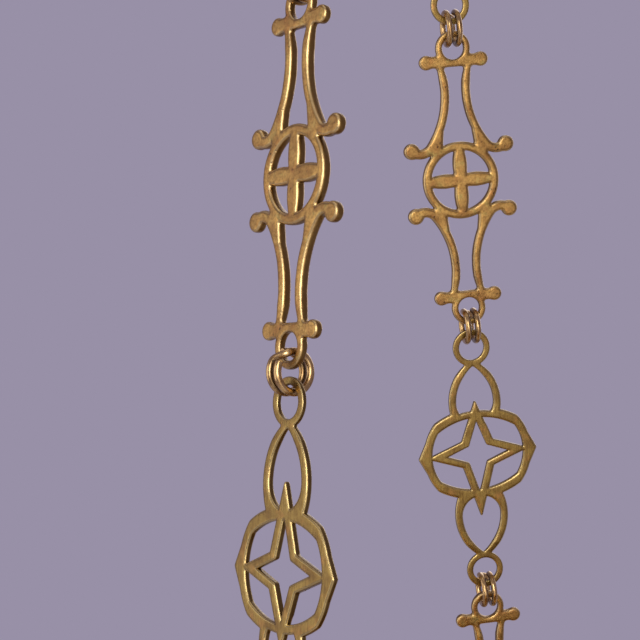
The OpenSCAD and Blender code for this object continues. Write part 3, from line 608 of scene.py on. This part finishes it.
def spun_brass():
    """Brass sheet spun on a lathe: smooth, with faint rings left by the tool and soft tarnish."""
    material, tree, shader = start_material("spun_brass")
    place = add_node(tree, "ShaderNodeTexCoord").outputs["Object"]
    flat = add_node(tree, "ShaderNodeVectorMath", {0: place, 1: (1, 1, 0)}, operation="MULTIPLY")
    radius = add_node(tree, "ShaderNodeVectorMath", {0: flat.outputs["Vector"]},
                      operation="LENGTH")
    clouds = add_node(tree, "ShaderNodeTexNoise",
                      {"Vector": place, "Scale": per_mm(38), "Detail": 5, "Roughness": 0.6})
    cloud_share = add_node(tree, "ShaderNodeMapRange", {
        "Value": clouds.outputs["Fac"], "From Min": 0.38, "From Max": 0.66})
    tone = add_node(tree, "ShaderNodeMix", {
        FACTOR: cloud_share.outputs["Result"], COLOR_A: linear("#C29C57"),
        COLOR_B: linear("#A0783C")}, data_type="RGBA")
    spots = add_node(tree, "ShaderNodeTexNoise",
                     {"Vector": place, "Scale": per_mm(6), "Detail": 3, "Roughness": 0.6})
    spot_share = add_node(tree, "ShaderNodeMapRange", {
        "Value": spots.outputs["Fac"], "From Min": 0.58, "From Max": 0.75, "To Max": 0.5})
    spotted = add_node(tree, "ShaderNodeMix", {
        FACTOR: spot_share.outputs["Result"], COLOR_A: tone.outputs[COLOR_OUT],
        COLOR_B: linear("#7C5C33")}, data_type="RGBA")
    rings = add_node(tree, "ShaderNodeTexNoise", {
        "W": radius.outputs["Value"], "Scale": per_mm(0.9), "Detail": 3, "Roughness": 0.7},
        noise_dimensions="1D")
    tooled = add_node(tree, "ShaderNodeBump", {
        "Height": rings.outputs["Fac"], "Strength": 0.18, "Distance": 0.1 * MM})
    roughness = add_node(tree, "ShaderNodeMapRange", {
        "Value": clouds.outputs["Fac"], "From Min": 0.3, "From Max": 0.7,
        "To Min": 0.24, "To Max": 0.4})
    shader.inputs["Metallic"].default_value = 1
    tree.links.new(spotted.outputs[COLOR_OUT], shader.inputs["Base Color"])
    tree.links.new(roughness.outputs["Result"], shader.inputs["Roughness"])
    tree.links.new(tooled.outputs["Normal"], shader.inputs["Normal"])
    return material


def turned_brass():
    """Turned and filed brass: close grained, a little brighter than the sheet, brown in spots."""
    material, tree, shader = start_material("turned_brass")
    place = add_node(tree, "ShaderNodeTexCoord").outputs["Object"]
    clouds = add_node(tree, "ShaderNodeTexNoise",
                      {"Vector": place, "Scale": per_mm(7), "Detail": 4, "Roughness": 0.6})
    cloud_share = add_node(tree, "ShaderNodeMapRange", {
        "Value": clouds.outputs["Fac"], "From Min": 0.4, "From Max": 0.66})
    tone = add_node(tree, "ShaderNodeMix", {
        FACTOR: cloud_share.outputs["Result"], COLOR_A: linear("#C8A25C"),
        COLOR_B: linear("#9C743A")}, data_type="RGBA")
    grain = add_node(tree, "ShaderNodeTexNoise",
                     {"Vector": place, "Scale": per_mm(0.6), "Detail": 2})
    worked = add_node(tree, "ShaderNodeBump", {
        "Height": grain.outputs["Fac"], "Strength": 0.25, "Distance": 0.06 * MM})
    roughness = add_node(tree, "ShaderNodeMapRange", {
        "Value": clouds.outputs["Fac"], "From Min": 0.3, "From Max": 0.7,
        "To Min": 0.26, "To Max": 0.4})
    shader.inputs["Metallic"].default_value = 1
    tree.links.new(tone.outputs[COLOR_OUT], shader.inputs["Base Color"])
    tree.links.new(roughness.outputs["Result"], shader.inputs["Roughness"])
    tree.links.new(worked.outputs["Normal"], shader.inputs["Normal"])
    return material


def clear_glass():
    """Pressed clear glass: a faint green body and slow waves in its surface."""
    material, tree, shader = start_material("clear_glass")
    place = add_node(tree, "ShaderNodeTexCoord").outputs["Object"]
    waves = add_node(tree, "ShaderNodeTexNoise",
                     {"Vector": place, "Scale": per_mm(16), "Detail": 1})
    pressed = add_node(tree, "ShaderNodeBump", {
        "Height": waves.outputs["Fac"], "Strength": 0.15, "Distance": 0.6 * MM})
    shader.inputs["Base Color"].default_value = linear("#F0F6F0")
    shader.inputs["Transmission Weight"].default_value = 1
    shader.inputs["Roughness"].default_value = 0.03
    shader.inputs["IOR"].default_value = 1.5
    tree.links.new(pressed.outputs["Normal"], shader.inputs["Normal"])
    return material


def cotton():
    """Twisted cotton: dull cream fibres, charred black at the tip that burns."""
    material, tree, shader = start_material("cotton")
    place = add_node(tree, "ShaderNodeTexCoord").outputs["Object"]
    height = add_node(tree, "ShaderNodeSeparateXYZ", {"Vector": place}).outputs["Z"]
    fibres = add_node(tree, "ShaderNodeTexNoise",
                      {"Vector": place, "Scale": per_mm(0.7), "Detail": 3, "Roughness": 0.7})
    tone = add_node(tree, "ShaderNodeMix", {
        FACTOR: fibres.outputs["Fac"], COLOR_A: linear("#E4D9C0"),
        COLOR_B: linear("#B8A887")}, data_type="RGBA")
    wander = add_node(tree, "ShaderNodeMath", {
        0: fibres.outputs["Fac"], 1: CHAR_WANDER, 2: height}, operation="MULTIPLY_ADD")
    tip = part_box("cotton_wick")[1].z
    char_share = add_node(tree, "ShaderNodeMapRange", {
        "Value": wander.outputs["Value"], "From Min": tip - CHAR_LENGTH, "From Max": tip})
    charred = add_node(tree, "ShaderNodeMix", {
        FACTOR: char_share.outputs["Result"], COLOR_A: tone.outputs[COLOR_OUT],
        COLOR_B: linear("#1A1613")}, data_type="RGBA")
    fuzzy = add_node(tree, "ShaderNodeBump", {
        "Height": fibres.outputs["Fac"], "Strength": 0.6, "Distance": 0.3 * MM})
    shader.inputs["Roughness"].default_value = 0.95
    tree.links.new(charred.outputs[COLOR_OUT], shader.inputs["Base Color"])
    tree.links.new(fuzzy.outputs["Normal"], shader.inputs["Normal"])
    return material


def photo_camera():
    """The camera at the photograph's place, beside the chains."""
    heading, tilt = math.radians(CAMERA_HEADING), math.radians(CAMERA_TILT)
    forward = Vector((math.cos(tilt) * math.cos(heading), math.cos(tilt) * math.sin(heading),
                      math.sin(tilt)))
    data = bpy.data.cameras.new("photo_camera")
    data.sensor_width = SENSOR_MM
    data.lens = LENS_MM
    data.clip_start = NEAREST
    camera = bpy.data.objects.new("photo_camera", data)
    camera.location = CAMERA_PLACE
    camera.rotation_mode = "QUATERNION"
    roll = Quaternion(forward, math.radians(CAMERA_ROLL))
    camera.rotation_quaternion = roll @ forward.to_track_quat("-Z", "Y")
    bpy.context.scene.collection.objects.link(camera)
    bpy.context.scene.camera = camera


def softbox(name, place, target, width, height, radiance):
    """A rectangular soft light that shines at a target with a given radiance."""
    data = bpy.data.lights.new(name, "AREA")
    data.shape = "RECTANGLE"
    data.size = width
    data.size_y = height
    data.energy = UNIT_ENERGY * width * height * radiance
    lamp = bpy.data.objects.new(name, data)
    lamp.location = place
    lamp.rotation_mode = "QUATERNION"
    lamp.rotation_quaternion = (Vector(target) - Vector(place)).to_track_quat("-Z", "Y")
    lamp.visible_camera = False
    bpy.context.scene.collection.objects.link(lamp)


def studio_world():
    """A lilac-grey room for what the camera and the metal see, and a plain light for the rest."""
    world = bpy.data.worlds.new("studio")
    world.use_nodes = True
    tree = world.node_tree
    path = add_node(tree, "ShaderNodeLightPath").outputs
    seen = add_node(tree, "ShaderNodeMath", {
        0: path["Is Camera Ray"], 1: path["Is Glossy Ray"]}, operation="MAXIMUM")
    shown = add_node(tree, "ShaderNodeMath", {
        0: seen.outputs["Value"], 1: path["Is Transmission Ray"]}, operation="MAXIMUM")
    mix = add_node(tree, "ShaderNodeMix", {
        FACTOR: shown.outputs["Value"], COLOR_A: linear("#BCBCBC"),
        COLOR_B: linear("#9890A7")}, data_type="RGBA")
    tree.links.new(mix.outputs[COLOR_OUT], tree.nodes["Background"].inputs["Color"])
    bpy.context.scene.world = world


def studio_floor():
    """A pale round floor below the lamp that fades into the room."""
    bpy.ops.object.select_all(action="DESELECT")
    bpy.ops.mesh.primitive_circle_add(vertices=FLOOR_SIDES, radius=FLOOR_R, fill_type="NGON",
                                      location=(0, 0, FLOOR_Z))
    floor = bpy.context.view_layer.objects.active
    floor.name = "studio_floor"
    material, tree, shader = start_material("floor_paint")
    shader.inputs["Base Color"].default_value = linear("#C4BFCB")
    shader.inputs["Roughness"].default_value = 0.9
    place = add_node(tree, "ShaderNodeTexCoord").outputs["Object"]
    reach = add_node(tree, "ShaderNodeVectorMath", {0: place}, operation="LENGTH")
    fade = add_node(tree, "ShaderNodeMapRange", {
        "Value": reach.outputs["Value"], "From Min": FADE_START, "From Max": FADE_END},
        interpolation_type="SMOOTHSTEP")
    clear = add_node(tree, "ShaderNodeBsdfTransparent")
    mixed = add_node(tree, "ShaderNodeMixShader", {
        0: fade.outputs["Result"], 1: shader.outputs["BSDF"], 2: clear.outputs["BSDF"]})
    tree.links.new(mixed.outputs["Shader"], tree.nodes["Material Output"].inputs["Surface"])
    floor.data.materials.append(material)


bpy.context.scene.view_settings.view_transform = "Standard"
photo_camera()
studio_world()
studio_floor()
for light in SOFTBOXES:
    softbox(*light)

hang_links(cast_brass(), sawn_brass())
hang_rings(bronze_wire())
turned = turned_brass()
spun = spun_brass()
dress_plain(("hanger_eye", "swivel_washer", "swivel_nut", "crown_rivets", "belly_bead",
             "bottom_finial", "finial_nut", "bowl_rivets", "cover_lip", "cup_collar",
             "wick_bridge"), TURNED_EDGE, turned)
dress_plain([f"{end}_lug_{chain}" for end in ("crown", "bowl") for chain in CHAINS],
            LUG_EDGE, turned)
dress_plain(("crown_canopy", "bowl_wall", "bowl_dish", "rim_ring", "cover_plate"),
            SPUN_EDGE, spun)
dress_plain(("oil_glass",), GLASS_EDGE, clear_glass())
twist_wick(cotton())
